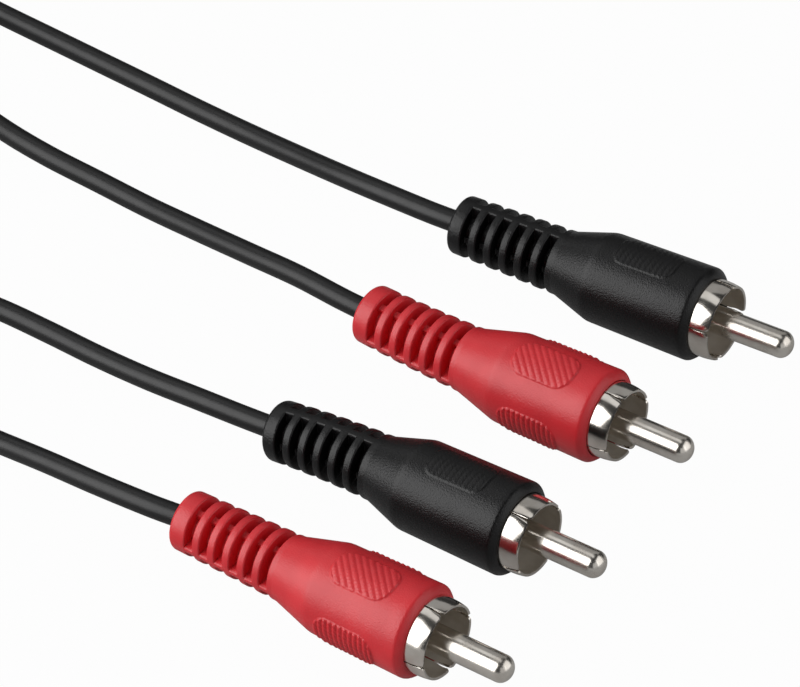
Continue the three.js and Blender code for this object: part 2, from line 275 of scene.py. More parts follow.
def drawn_pvc(name, colour, shade):
    material, graph, place = new_material(name)
    pull = noise(graph, place, 1.4 * MM)
    skin = noise(graph, place, 0.25 * MM)
    finish_material(graph, {
        "Base Color": mix_colour(graph, pull.ramp(0.3, 0.7), colour, shade),
        "Roughness": 0.33 + 0.08 * pull + 0.05 * skin,
        "Normal": bump(graph, 0.6 * pull + 0.4 * skin, 0.006 * MM),
    }, {"IOR": 1.5, "Specular IOR Level": 0.4})
    return material


def plain_plastic(name, colour, shade, roughness):
    material, graph, place = new_material(name)
    grain = noise(graph, place, 0.3 * MM)
    finish_material(graph, {
        "Base Color": mix_colour(graph, grain.ramp(0.3, 0.7), colour, shade),
        "Roughness": roughness + 0.1 * (grain - 0.5),
        "Normal": bump(graph, grain, 0.006 * MM),
    }, {"IOR": 1.5})
    return material


def copper_strands(name):
    material, graph, place = new_material(name)
    strand = noise(graph, place, 0.12 * MM)
    finish_material(graph, {
        "Base Color": mix_colour(graph, strand, linear(214, 134, 92), linear(150, 80, 48)),
        "Roughness": 0.3 + 0.15 * strand,
        "Normal": bump(graph, strand, 0.02 * MM),
    }, {"Metallic": 1.0})
    return material


BLACK_PVC = moulded_pvc(
    "black_pvc", linear(9, 9, 10), linear(7, 7, 8), roughness=0.36, gloss=0.34, grain_depth=0.04 * MM)
RED_PVC = moulded_pvc(
    "red_pvc", linear(209, 39, 47), linear(199, 33, 42), roughness=0.4, gloss=0.56,
    grain_depth=0.032 * MM)
PLATING = linear(228, 223, 215), linear(212, 205, 196)
NICKEL = nickel_plate("nickel_plate", *PLATING, roughness=0.12)
NICKEL_PIN = nickel_plate("nickel_pin", *PLATING, roughness=0.2)
# Inside the shells: rougher, less metallic and lighter than the plating. The lighter, partly diffuse
# tone is painted light that brightens the cup.
NICKEL_INSIDE_PAINTED_LIGHTER = nickel_plate(
    "nickel_inside_painted_lighter", linear(232, 224, 212), linear(212, 202, 188), roughness=0.45, metallic=0.4)
INSULATOR = plain_plastic(
    "insulator_plastic", linear(40, 36, 32), linear(30, 27, 24), roughness=0.6)
LEAD_PVC = drawn_pvc("lead_pvc", linear(15, 15, 16), linear(11, 11, 12))
WIRE_WHITE = plain_plastic("wire_white", linear(236, 232, 224), linear(222, 216, 206), roughness=0.5)
COPPER = copper_strands("copper_strands")
TIE_PLASTIC = plain_plastic("tie_plastic", linear(28, 28, 30), linear(22, 22, 24), roughness=0.55)
print("materials:", len(bpy.data.materials))

# %% [markdown]
# ## The plugs in their row
#
# Every piece of a plug is made along the X axis, in millimetres, from the rear end of its strain
# relief at 0. `seated` then turns it, bends the soft rear end, swings it a little about Z and
# moves it to its place in the row. The moulding is rolled one way and the ground shell another,
# because nobody lines them up when the plugs are moulded.

# %% The row of plugs
LEAD_R = 1.3
PIN_TIP = 43.8                   # from a plug's rear end to the tip of its pin
BLACK_AXIS = 5.73                # height of a black plug's axis over the floor
RED_AXIS = 5.58
BEND_END = 16                    # the strain relief is straight in front of this station

# Turns are in degrees. The bend is how far the soft rear end has moved along Y and Z.
PLUGS = [
    dict(name="plug_1_black", at=(-24.2, 30.75, BLACK_AXIS), yaw=2, roll=0.7, slits=-17, bend=(0, 0)),
    dict(name="plug_2_red", at=(-23.6, 10.5, RED_AXIS), yaw=-0.5, roll=110, slits=13, bend=(0.7, 0)),
    dict(name="plug_3_black", at=(-20.7, -11.1, BLACK_AXIS), yaw=-1.5, roll=4, slits=27, bend=(0, -1.1)),
    dict(name="plug_4_red", at=(-19.5, -30.6, RED_AXIS), yaw=-2.3, roll=107, slits=10, bend=(0, 0)),
]


def turned(points, axis, degrees):
    return np.asarray(points, dtype=float) @ np.array(Matrix.Rotation(math.radians(-degrees), 3, axis))


def bent(points, bend):
    """The soft strain relief bends with the square of the distance from its front end."""
    back = np.maximum(0, BEND_END - points[:, 0])
    share = (back / BEND_END) ** 2
    slope = 2 * back / BEND_END ** 2
    bowed = points.copy()
    bowed[:, 0] += slope * (bend[0] * points[:, 1] + bend[1] * points[:, 2])
    bowed[:, 1] += share * bend[0]
    bowed[:, 2] += share * bend[1]
    return bowed


def seated(points, plug, roll=0):
    """Points of a plug's own frame, in mm, at their place in the row."""
    bowed = bent(turned(points, "X", roll), plug["bend"])
    return turned(bowed, "Z", plug["yaw"]) + plug["at"]


print("plug tips, mm:", [np.round(seated([(PIN_TIP, 0, 0)], plug)[0], 1).tolist() for plug in PLUGS])

# %% [markdown]
# ## The single leads
#
# Each plug hangs on a single round lead. It leaves the strain relief straight, comes down to the
# floor within a few centimetres and runs on in a loose curve, to where it joins its neighbour in
# a flat twin lead. The route is a list of given points, the same as the solid's, and a spline
# runs smoothly through them. Blender's own curve object gives it thickness.

# %% Routes of the leads
LEAD_END = 15.2                  # the lead reaches this far into its plug
SPLIT_X = -125                   # here the twin lead parts into single leads
TWIN_A_Y = 39.85
TWIN_B_Y = -28.85
INTO_TWIN = 3                    # a single lead runs on into its half of the twin lead

ROUTES = [
    [(-28, 30.75, 5.6), (-33.5, 31.1, 5.3), (-41, 32.2, 4.4), (-49, 34, 3), (-57.5, 35.7, 1.8),
     (-65.5, 36.8), (-73, 37.5), (-81, 38.2), (-89, 38.9), (-97, 39.6), (-104, 40.4),
     (-111, 41.1), (-118, 41.5), (SPLIT_X, 41.35)],
    [(-27.5, 11.6, 5.5), (-34.5, 12.8, 5.1), (-42.5, 14.3, 4), (-50.5, 16, 2.7), (-59, 17.6, 1.6),
     (-67, 18.7), (-75, 19.5), (-82, 20.7), (-89, 22.6), (-96, 25.4), (-103, 28.9),
     (-110, 32.8), (-115.5, 36), (-120.5, 38.2), (SPLIT_X, 38.35)],
    [(-25, -11, 4.3), (-32, -10.7, 3.8), (-39.5, -10, 2.9), (-47.5, -8.8, 1.9), (-55, -7.8, 1.4),
     (-62.5, -7.4), (-70, -8), (-77.5, -9.8), (-85, -12.6), (-92.5, -16), (-100, -19.6),
     (-108, -23.2), (-114.5, -26.2), (-120, -27.4), (SPLIT_X, -27.35)],
    [(-24, -30.8, 5.5), (-31.5, -30.5, 5), (-39.5, -29.4, 3.9), (-47.5, -28.2, 2.5),
     (-55.5, -27.3, 1.5), (-63.5, -27), (-71.5, -27.2), (-79.5, -27.9), (-87.5, -28.8),
     (-95.5, -29.7), (-103.5, -30.4), (-111, -30.7), (-118, -30.7), (SPLIT_X, -30.35)],
]
print("points by hand on each lead:", [len(route) for route in ROUTES])


# %% A smooth line through the points
def spline_point(p, knots, t):
    """The spline's point at t, between the middle two of four points with four knots."""
    def mixed(a, b, i, j):
        return a + (b - a) * (t - knots[i]) / (knots[j] - knots[i])
    ab, bc, cd = (mixed(p[i], p[i + 1], i, i + 1) for i in range(3))
    return mixed(mixed(ab, bc, 0, 2), mixed(bc, cd, 1, 3), 1, 2)


def smooth_route(points, steps=8):
    """The spline through the points, with knots as far apart as the root of their distance."""
    p = np.array(points, dtype=float)
    p = np.vstack([2 * p[0] - p[1], p, 2 * p[-1] - p[-2]])
    route = []
    for i in range(len(p) - 3):
        four = p[i:i + 4]
        gaps = np.sqrt(np.linalg.norm(np.diff(four, axis=0), axis=1))
        knots = np.concatenate([[0], np.cumsum(gaps)])
        for t in np.linspace(knots[1], knots[2], steps, endpoint=False):
            route.append(spline_point(four, knots, t))
    return np.array(route + [p[-2]])


def length_of(points):
    return float(np.linalg.norm(np.diff(points, axis=0), axis=1).sum())


def route_of(plug, route, twin_y):
    inside = seated([(x, 0, 0) for x in (LEAD_END, 10, 5, 0)], plug)
    outside = [(*point, LEAD_R)[:3] for point in route]
    side = math.copysign(LEAD_R, route[-1][1] - twin_y)
    return smooth_route([*inside, *outside, (SPLIT_X - INTO_TWIN, twin_y + side, LEAD_R)])


print("points on the first lead:", len(route_of(PLUGS[0], ROUTES[0], TWIN_A_Y)))


# %% Leads
def round_cord(name, points, radius, material):
    curve = bpy.data.curves.new(name, "CURVE")
    curve.dimensions = "3D"
    curve.bevel_depth = radius * MM
    curve.bevel_resolution = 8
    curve.use_fill_caps = True
    spline = curve.splines.new("POLY")
    spline.points.add(len(points) - 1)
    for point, at in zip(spline.points, points * MM):
        point.co = (*at, 1)
    spline.use_smooth = True
    curve.materials.append(material)
    cord = bpy.data.objects.new(name, curve)
    bpy.context.scene.collection.objects.link(cord)
    return cord


def add_lead(number, plug, route, twin_y):
    points = route_of(plug, route, twin_y)
    lead = round_cord(f"lead_{number}_jacket", points, LEAD_R, LEAD_PVC)
    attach(lead, "root")
    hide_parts(f"lead_{number}")
    seated([(0, 0, 0)], plug)[0] * MM
    print(f"lead {number}: {length_of(points):.0f} mm")


for index, (plug, route) in enumerate(zip(PLUGS, ROUTES)):
    add_lead(index + 1, plug, route, TWIN_A_Y if index < 2 else TWIN_B_Y)

# %% [markdown]
# ## The twin lead and its coil
#
# Between the two ends, a flat twin lead carries both channels side by side: two round jackets
# joined by a thin web, a figure of eight in section. Its length is put away as for storage, in a
# neat coil. The turns stand on edge, four beside each other, and the lead then climbs and winds
# more of them on top on its way out.
#
# Geometry Nodes sweep it. The path is a curve with a twist for every point, so the section can
# stand up in the coil and lie flat where the leads part. The section is a circle that a formula
# pinches in the middle.

# %% The path of the twin lead
COIL_X, COIL_Y = -152, 5.5
OUTER_TURN = 34.35
TURN_PITCH = 2.7
TURNS_INWARD = 3                 # four turns across, so three steps inwards
STANDING = 2 * LEAD_R            # height of the twin lead's middle when it stands on edge
UPPER = STANDING + 4 * LEAD_R
TURN_STEPS = 48
TIE_LIFT = 0.8                   # the turns rise over the tie that runs under them
TIE_LIFT_ANGLE = 30
END_STEP = 1.5                   # length of a step in the straight ends
TWIST_STEPS = 13                 # steps for a quarter turn of the section
END_STEPS = 17


def eased(t):
    t = min(max(t, 0), 1)
    return t * t * (3 - 2 * t)


def coil_point(turns):
    """A point of the coil after so many turns, counted from where the lead meets it."""
    inward = min(turns, TURNS_INWARD)
    climb = eased(2 * (turns - TURNS_INWARD))
    outward = max(0, turns - TURNS_INWARD - 0.5)
    radius = OUTER_TURN - TURN_PITCH * (inward - outward)
    angle = 90 + 360 * turns
    from_tie = (angle + 180) % 360 - 180
    lift = TIE_LIFT * math.exp(-(from_tie / TIE_LIFT_ANGLE) ** 2)
    height = STANDING + (UPPER - STANDING) * climb + lift
    a = math.radians(angle)
    return (COIL_X + radius * math.cos(a), COIL_Y + radius * math.sin(a), height)


def straight_end(y, height):
    """From the split to the coil: the section rises, and goes from flat to upright."""
    for i in range(END_STEPS):
        upright = eased(i / TWIST_STEPS)
        over_floor = math.sin(upright * math.pi / 2)
        yield (SPLIT_X - 1 - END_STEP * i, y, LEAD_R + (height - LEAD_R) * over_floor), upright


def twin_path():
    """The points of the twin lead, with 0 where its section lies flat and 1 where it stands."""
    way_in = list(straight_end(TWIN_A_Y, STANDING))
    way_out = list(straight_end(TWIN_B_Y, UPPER))[::-1]
    last_turn = 2 * TURNS_INWARD + 0.5
    steps = range(round(last_turn * TURN_STEPS) + 1)
    turns = [(coil_point(i / TURN_STEPS), 1) for i in steps]
    points, upright = zip(*way_in, *turns, *way_out)
    return np.array(points), np.array(upright)


twin_points, twin_upright = twin_path()
print(f"twin lead: {length_of(twin_points):.0f} mm in {len(twin_points)} steps")


# %% Helpers for Geometry Nodes
def new_tree(name, inputs):
    """A Geometry Nodes tree with named number inputs, and a Value for each of them."""
    tree = bpy.data.node_groups.new(name, "GeometryNodeTree")
    tree.interface.new_socket("Geometry", in_out="INPUT", socket_type="NodeSocketGeometry")
    for label, value in inputs.items():
        kind = "NodeSocketInt" if isinstance(value, int) else "NodeSocketFloat"
        tree.interface.new_socket(label, in_out="INPUT", socket_type=kind)
    tree.interface.new_socket("Geometry", in_out="OUTPUT", socket_type="NodeSocketGeometry")
    graph = Graph(tree)
    source = tree.nodes.new("NodeGroupInput")
    return graph, {label: Value(graph, source.outputs[label]) for label in ("Geometry", *inputs)}


def close_tree(graph, geometry, material):
    real = graph.node("GeometryNodeRealizeInstances", None, {"Geometry": geometry})
    dressed = graph.node("GeometryNodeSetMaterial", None, {"Geometry": real, "Material": material})
    output = graph.tree.nodes.new("NodeGroupOutput")
    graph.tree.links.new(dressed.socket, output.inputs[0])
    return graph.tree


def grown(mesh, tree, inputs):
    """Runs a tree on a mesh and keeps the result as a plain mesh."""
    seed = bpy.data.objects.new("seed", mesh)
    bpy.context.scene.collection.objects.link(seed)
    modifier = seed.modifiers.new("grow", "NODES")
    modifier.node_group = tree
    for item in tree.interface.items_tree:
        if item.in_out == "INPUT" and item.name in inputs:
            modifier[item.identifier] = inputs[item.name]
    result = seed.evaluated_get(bpy.context.evaluated_depsgraph_get())
    plain = bpy.data.meshes.new_from_object(result)
    bpy.data.objects.remove(seed)
    return plain


print("trees so far:", len(bpy.data.node_groups))

# %% From a mesh to a piece
CREASE = 50                      # edges that turn by more degrees than this stay sharp


def points_of(mesh):
    flat = np.empty(3 * len(mesh.vertices))
    mesh.vertices.foreach_get("co", flat)
    return flat.reshape(-1, 3)


def add_piece(name, mesh, slot, *nodes):
    """A finished mesh in metres, riding on the cable, in place of these solids."""
    mesh.shade_smooth()
    mesh.set_sharp_from_angle(angle=math.radians(CREASE))
    mesh.name = name
    piece = bpy.data.objects.new(name, mesh)
    bpy.context.scene.collection.objects.link(piece)
    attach(piece, "root")
    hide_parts(*nodes)
    return piece


print("edges stay sharp from", CREASE, "degrees on")

# %% Sweep the twin lead
TWIN_SIZES = {"Jacket Radius": LEAD_R * MM, "Web Thickness": 0.9 * MM, "Section Points": 40}


def twin_tree():
    graph, given = new_tree("twin_lead", TWIN_SIZES)
    circle = graph.node("GeometryNodeMeshCircle", None, {
        "Vertices": given["Section Points"], "Radius": 1.0,
    })
    x, y, _ = graph.parts(graph.node("GeometryNodeInputPosition"))
    lobes = 2 * given["Jacket Radius"] * abs(x)
    web = given["Web Thickness"] / (2 * abs(y)).higher(0.001)
    reach = lobes.higher(web.lower(given["Jacket Radius"]))
    outline = graph.node("GeometryNodeSetPosition", None, {
        "Geometry": circle, "Position": graph.point(x * reach, y * reach, 0.0),
    })
    section = graph.node("GeometryNodeMeshToCurve", None, {"Mesh": outline})
    path = graph.node("GeometryNodeMeshToCurve", None, {"Mesh": given["Geometry"]})
    level = graph.node("GeometryNodeSetCurveNormal", {"mode": "Z_UP"}, {"Curve": path})
    twist = graph.node("GeometryNodeInputNamedAttribute", {"data_type": "FLOAT"}, {"Name": "twist"})
    twisted = graph.node("GeometryNodeSetCurveTilt", None, {"Curve": level, "Tilt": twist})
    tube = graph.node("GeometryNodeCurveToMesh", None, {
        "Curve": twisted, "Profile Curve": section, "Fill Caps": True,
    })
    return close_tree(graph, tube, LEAD_PVC)


def path_mesh(points, twists):
    mesh = bpy.data.meshes.new("path")
    mesh.from_pydata([tuple(p) for p in points], [(i, i + 1) for i in range(len(points) - 1)], [])
    mesh.attributes.new("twist", "FLOAT", "POINT").data.foreach_set("value", twists)
    return mesh


def add_twin_lead():
    start = path_mesh(twin_points * MM, twin_upright * math.pi / 2)
    mesh = grown(start, twin_tree(), TWIN_SIZES)
    cord = add_piece(
        "twin_lead", mesh, "lead_jacket", "twin_lead_run_a", "twin_lead_run_b", "twin_lead_coil")
    return cord


print("twin lead faces:", len(add_twin_lead().data.polygons))

# %% [markdown]
# ## Meshes from a sheet
#
# A turned piece, such as the pin, is a profile that goes round the X axis. The moulding is
# nearly one too, except that its slots, webs and grip pads change with the angle. Both start as
# a flat sheet in which x is the station, y the angle and z the radius. Rolling the sheet up is
# then one formula, and the moulding's tree can move every point before it does so.


# %% Sheets that roll up
def sheet(profile, angles, closed_profile=True, closed_round=True):
    """A grid of (station, angle, radius) points, whose faces may close round either way."""
    rows, columns = len(profile), len(angles)
    points = [(x, a, r) for x, r in profile for a in angles]
    row_steps = range(rows if closed_profile else rows - 1)
    column_steps = range(columns if closed_round else columns - 1)
    faces = []
    for i in row_steps:
        for j in column_steps:
            k, m = (i + 1) % rows, (j + 1) % columns
            faces.append((i * columns + j, i * columns + m, k * columns + m, k * columns + j))
    mesh = bpy.data.meshes.new("sheet")
    mesh.from_pydata(points, [], faces)
    return mesh


def rolled_up(points):
    x, a, r = points.T
    return np.column_stack([x, r * np.cos(a), r * np.sin(a)])


def arc(centre_x, centre_r, size_x, size_r, start, end, steps):
    """Profile points on an arc round a centre. 0 degrees points outwards, 90 forwards."""
    turns = np.radians(np.linspace(start, end, steps + 1))
    return [(centre_x + size_x * math.sin(t), centre_r + size_r * math.cos(t)) for t in turns]


def place_in_row(mesh, plug, roll, rolled=False):
    points = points_of(mesh)
    at = seated(points if rolled else rolled_up(points), plug, roll) * MM
    mesh.vertices.foreach_set("co", at.ravel())
    mesh.update()
    return mesh


print("points on an arc of 20 steps:", len(arc(0, 0, 1, 1, 0, 90, 20)))

# %% [markdown]
# ## The tie round the coil
#
# A wire tie holds the turns together: a flat ribbon round the bundle, and on top its twisted
# end. Both are the same sweep. A small section is set at every point of a path, along the path's
# own normal and side. On the loop the normal points outwards, and on the tail it turns round the
# path, which twists the ribbon.


# %% A section along a path
def round_corners(half_x, low, high, radius, steps):
    """Points round a rectangle with round corners, from the top right corner on."""
    middles = ((half_x, high), (half_x, low), (-half_x, low), (-half_x, high))
    points = []
    for k, (x, z) in enumerate(middles):
        inset_x, inset_z = math.copysign(radius, x), radius if z == high else -radius
        points += arc(x - inset_x, z - inset_z, radius, radius, 90 * k, 90 * k + 90, steps)
    return np.array(points)


def swept(centres, normals, sides, section, closed):
    """The section, as offsets along the normal and the side, at every point of a path."""
    mesh = sheet([(i, 0) for i in range(len(centres))], range(len(section)), closed_profile=closed)
    along_normal = normals[:, None] * section[None, :, :1]
    along_side = sides[:, None] * section[None, :, 1:]
    mesh.vertices.foreach_set("co", ((centres[:, None] + along_normal + along_side) * MM).ravel())
    return mesh


print("points round a section:", len(round_corners(1, -1, 1, 0.2, 4)))

# %% Tie
TIE_AT = (COIL_X + OUTER_TURN - TURNS_INWARD * TURN_PITCH / 2, COIL_Y)     # the middle of the bundle
TIE_HALF = 5.72                  # from the middle of the bundle to the ribbon's own middle
TIE_BOTTOM, TIE_TOP = 0.37, 11.6
TIE_CORNER = 1.6
TIE_WIDTH, TIE_THICKNESS, TIE_EDGE = 4, 0.6, 0.22
TAIL_WIDTH, TAIL_THICKNESS, TAIL_EDGE = 1.04, 0.4, 0.16
TAIL_START, TAIL_LENGTH = 5.2, 10.6
TAIL_OVER_LOOP = 0.75
TAIL_RISE, TAIL_SWAY = 0.5, 0.25     # towards its end it rises, and it wanders to the side
TAIL_TURNS = 3.5


def tie_loop():
    path = round_corners(TIE_HALF, TIE_BOTTOM, TIE_TOP, TIE_CORNER, 8)
    ahead = np.roll(path, -1, axis=0) - np.roll(path, 1, axis=0)
    ahead /= np.linalg.norm(ahead, axis=1)[:, None]
    flat = np.zeros(len(path))
    centres = np.column_stack([path[:, 0], flat, path[:, 1]]) + (*TIE_AT, 0)
    normals = np.column_stack([-ahead[:, 1], flat, ahead[:, 0]])
    sides = np.tile([0.0, 1.0, 0.0], (len(path), 1))
    section = round_corners(TIE_THICKNESS / 2, -TIE_WIDTH / 2, TIE_WIDTH / 2, TIE_EDGE, 4)
    return swept(centres, normals, sides, section, True)


def tie_tail():
    t = np.linspace(0, 1, 81)
    x, z = TAIL_START - TAIL_LENGTH * t, TIE_TOP + TAIL_OVER_LOOP + TAIL_RISE * t ** 2
    centres = np.column_stack([x, TAIL_SWAY * np.sin(5 * t), z]) + (*TIE_AT, 0)
    turn = 2 * math.pi * TAIL_TURNS * t
    # Both ends of the tail narrow to a round tip.
    size = np.minimum(1, 8 * np.minimum(t, 1 - t)) ** 0.5 + 0.01
    normals = np.column_stack([0 * t, np.sin(turn), np.cos(turn)]) * size[:, None]
    sides = np.column_stack([0 * t, np.cos(turn), -np.sin(turn)]) * size[:, None]
    section = round_corners(TAIL_THICKNESS / 2, -TAIL_WIDTH / 2, TAIL_WIDTH / 2, TAIL_EDGE, 3)
    return swept(centres, normals, sides, section, False)


def add_tie():
    both = bmesh.new()
    for part in (tie_loop(), tie_tail()):
        both.from_mesh(part)
    bmesh.ops.recalc_face_normals(both, faces=both.faces)
    mesh = bpy.data.meshes.new("tie")
    both.to_mesh(mesh)
    both.free()
    mesh.materials.append(TIE_PLASTIC)
    return add_piece("coil_wire_tie", mesh, "tie", "coil_tie")


print("tie faces:", len(add_tie().data.polygons))

# %% [markdown]
# ## The mouldings
#
# The moulding is the piece that carries the look. From the rear it has a strain relief with six
# ring slots, each bridged by two full webs and two sunken ones, then a cone, and a body with
# three raised oblong pads for the fingers. Fine ribs run round the plug on two of them and slant
# on the third. The fourth side of the body is smooth: it faces the camera on the black plugs and
# the floor on the red ones.
#
# It could be sculpted or cut with Booleans. But it follows a rule all along, so Geometry Nodes
# shape it, and every size stays a number that can be changed. The tree reads each point's station,
# angle and base radius. It finds the nearest slot and works out how deep the slot may go there,
# with the webs in its way, and rounds the slot's edge and foot. On the body it measures the
# distance to the pad's outline and raises the ribs inside it, with fine slanting cuts over them.

# %% Sizes of the moulding
BOOT_R, BOOT_FRONT_R = 3.5, 3.86
BOOT_EDGE = 0.5
SLOT_WIDTH, SLOT_COUNT = 1.08, 6
SLOT_EDGE = 0.2                  # rounding of a slot's rim and of the full webs' edges
SLOT_FOOT = 0.18                 # and of a slot's foot
CONE_BLEND = 0.45                # half the length over which the cone runs into the body
BODY_R, BODY_FRONT_R = 5.36, 5.57
BODY_END = 32.8
BODY_EDGE = BODY_END - 0.95      # here the front edge starts: a tight corner, then a soft curve
BODY_FRONT = [(32.02, 5.55), (32.14, 5.5), (32.24, 5.43), (32.42, 5.28), (32.58, 5.12),
              (32.7, 4.95), (32.77, 4.8), (BODY_END, 4.68)]
PAD_MARGIN = 0.3
BORE_R, BORE_EDGE = 1.34, 0.1
CHAMBER_R, CHAMBER_REAR = 3.4, 15
SOCKET_R, SOCKET_REAR, SOCKET_EDGE = 4.545, 24.9, 0.06

# The two colours come from two moulds, which are not quite the same.
MOULD_SIZES = {
    "black": {
        "Slot First": 1.85, "Slot Pitch": 2.08, "Low Web Radius": 2.4, "Web Width": 1.05,
        "Cone Start": 14.2, "Cone End": 19.05, "Pad Corner": 1.4,
        "Pad Middle": 25.05, "Pad Length": 7.8, "Pad Base": 0.06, "Rib Height": 0.035, "Rib Pitch": 0.7,
    },
    "red": {
        "Slot First": 2.25, "Slot Pitch": 2.08, "Low Web Radius": 2.7, "Web Width": 0.8,
        "Cone Start": 14.45, "Cone End": 19.9, "Pad Corner": 1.9,
        "Pad Middle": 25.2, "Pad Length": 8.0, "Pad Base": 0.04, "Rib Height": 0.21, "Rib Pitch": 0.68,
    },
}
black_sizes, red_sizes = MOULD_SIZES.values()
print("the same in both moulds:", [size for size in red_sizes if red_sizes[size] == black_sizes[size]])


# %% Stations along the moulding
def slot_stations(first, pitch):
    """Stations close together at each slot's rim and foot, and one in its middle."""
    rim = [SLOT_EDGE * t for t in (1, 0.7, 0.4, 0.2, 0.06)]
    foot = [0.002] + [SLOT_FOOT * t for t in (0.1, 0.3, 0.6, 1)]
    offsets = [-t for t in rim] + [-0.002] + foot
    for i in range(SLOT_COUNT):
        start = first + i * pitch
        end = start + SLOT_WIDTH
        yield from (start + t for t in offsets)
        yield (start + end) / 2
        yield from (end - t for t in reversed(offsets))


def between(x, start, end):
    """The point at station x on the line through two (station, radius) points."""
    return x, start[1] + (end[1] - start[1]) * (x - start[0]) / (end[0] - start[0])


def cone_stations(start, end):
    """Closer together at the foot of the cone, and up to where its corner begins."""
    return [start + 0.05, start + 0.25, *np.linspace(start + 0.6, end - CONE_BLEND, 6)[:-1]]


def cone_corner(boot_end, body_start, body_end):
    """Where the cone meets the body, a parabola takes one slope over into the other."""
    sides = ((boot_end, body_start), (body_start, body_end))
    steep, level = (between(1, a, b)[1] - between(0, a, b)[1] for a, b in sides)
    for t in np.linspace(-CONE_BLEND, CONE_BLEND, 9):
        sag = (steep - level) * (t * t / CONE_BLEND + CONE_BLEND) / 4
        yield body_start[0] + t, body_start[1] + (steep + level) / 2 * t - sag


def pad_stations(mould):
    """Eight stations to a rib, one of them in each valley."""
    ribs = math.ceil((mould["Pad Length"] / 2 + PAD_MARGIN) / mould["Rib Pitch"])
    return mould["Pad Middle"] + mould["Rib Pitch"] / 8 * np.arange(-8 * ribs, 8 * ribs + 1)


print("stations on the pads:", [len(pad_stations(mould)) for mould in MOULD_SIZES.values()])


# %% Profile of the moulding
def outer_profile(mould):
    boot_start, boot_end = (BOOT_EDGE, BOOT_R), (mould["Cone Start"], BOOT_FRONT_R)
    body_start, body_end = (mould["Cone End"], BODY_R), (BODY_EDGE, BODY_FRONT_R)
    rear = arc(BOOT_EDGE, BOOT_R - BOOT_EDGE, BOOT_EDGE, BOOT_EDGE, -90, 0, 8)
    slot_at = slot_stations(mould["Slot First"], mould["Slot Pitch"])
    slots = [between(x, boot_start, boot_end) for x in slot_at]
    cone_at = cone_stations(mould["Cone Start"], mould["Cone End"])
    cone = [between(x, boot_end, body_start) for x in cone_at]
    corner = cone_corner(boot_end, body_start, body_end)
    pad_at = pad_stations(mould)
    body_at = [*pad_at, *np.linspace(pad_at[-1], BODY_EDGE, 4)[1:]]
    body = [between(x, body_start, body_end) for x in body_at]
    return [(0, 1.9), (0, 2.5), *rear, *slots, boot_end, *cone, *corner, *body, *BODY_FRONT]


def moulding_profile(mould):
    lip_middle = (BODY_END - SOCKET_EDGE, SOCKET_R + SOCKET_EDGE)
    lip = arc(*lip_middle, SOCKET_EDGE, -SOCKET_EDGE, 90, 0, 3)
    inside = [(SOCKET_REAR, SOCKET_R), (SOCKET_REAR, CHAMBER_R), (CHAMBER_REAR, CHAMBER_R)]
    # The bore has stations of its own on the way, because it bends with the strain relief.
    bore = [(x, BORE_R) for x in (CHAMBER_REAR, 10, 5, BORE_EDGE)]
    return outer_profile(mould) + lip + inside + bore + [(0, BORE_R + BORE_EDGE)]


for colour, mould in MOULD_SIZES.items():
    stations = [x for x, _ in outer_profile(mould)]
    print(colour, "stations always rising:", stations == sorted(stations))

# %% Angles round the moulding
FINE_REACH, FINE_STEP, COARSE_STEP = 28, 1.05, 2.6     # degrees round the plug


def moulding_angles():
    """Finer where the webs' flanks and the pads' edges run along the plug."""
    degrees = set()
    for middle in (0, 90, 180, 270):
        fine = np.arange(middle - FINE_REACH, middle + FINE_REACH, FINE_STEP)
        coarse = middle + FINE_REACH + np.arange(0, 90 - 2 * FINE_REACH, COARSE_STEP)
        degrees |= {round(a % 360, 3) for a in (*fine, *coarse)}
    return np.radians(sorted(degrees))


MOULDING_ANGLES = moulding_angles()
for colour, mould in MOULD_SIZES.items():
    print(colour, "sheet, along and round:", len(moulding_profile(mould)), len(MOULDING_ANGLES))

# %% Slots, webs and pads
EDGE_FADE = 0.4                  # a slot less deep than this has a smaller rounding
PAD_FLANK = (-0.12, 0.03)        # the flank lies this far inside and outside a pad's outline
MOULDING_SIZES = {
    "Slot Width": SLOT_WIDTH, "Last Slot": SLOT_COUNT - 1, "Core Radius": 2.05,
    "Low Web Width": 0.8, "Rim Rounding": SLOT_EDGE, "Foot Rounding": SLOT_FOOT,
    "Pad Width": 4.7, "Far Pad Base": 0.12, "Far Rib Height": 0.095,
    "Far Pad Turn": math.radians(4.5), "Cut Pitch": 0.42, "Cut Share": 0.5,
    **MOULD_SIZES["red"],
}


def slotted_radius(given, x, a, r):
    """The radius with the slots cut, the webs left standing and the edges rounded."""
    across = abs(a.cos()).higher(0.001)
    along = abs(a.sin()).higher(0.001)
    half = given["Slot Width"] / 2
    nearest = ((x - given["Slot First"] - half) / given["Slot Pitch"]).round()
    middle = given["Slot First"] + half + given["Slot Pitch"] * nearest.within(0, given["Last Slot"])
    past_wall = abs(x - middle) - half
    web = given["Web Width"] / (2 * across)
    rim = given["Rim Rounding"]
    past_edge = (rim + r * across - given["Web Width"] / 2).within(0, rim)
    top = r - rim + (rim * rim - past_edge * past_edge).root()
    low_web = (given["Low Web Width"] / (2 * along)).lower(given["Low Web Radius"])
    floor = web.higher(low_web).higher(given["Core Radius"]).lower(top)
    foot = given["Foot Rounding"]
    short = (foot + past_wall).higher(0)
    rise = foot - (foot * foot - short * short).root()
    near = (rim - past_wall).higher(0)
    drop = rim - (rim * rim - near * near).root()
    share = ((r - floor) / EDGE_FADE).lower(1)
    inside = (floor + rise).lower(top)
    return r + past_wall.below(0) * (inside - r) - past_wall.above(0) * drop * share


def pad_rise(given, u, v, height):
    """Height of a pad with round corners, u along the plug and v across it."""
    corner = given["Pad Corner"]
    over_u = abs(u) - (given["Pad Length"] / 2 - corner)
    over_v = abs(v) - (given["Pad Width"] / 2 - corner)
    out_u, out_v = over_u.higher(0), over_v.higher(0)
    outside = (out_u * out_u + out_v * out_v).root() + over_u.higher(over_v).lower(0) - corner
    return height * (1 - outside.ramp(*PAD_FLANK))


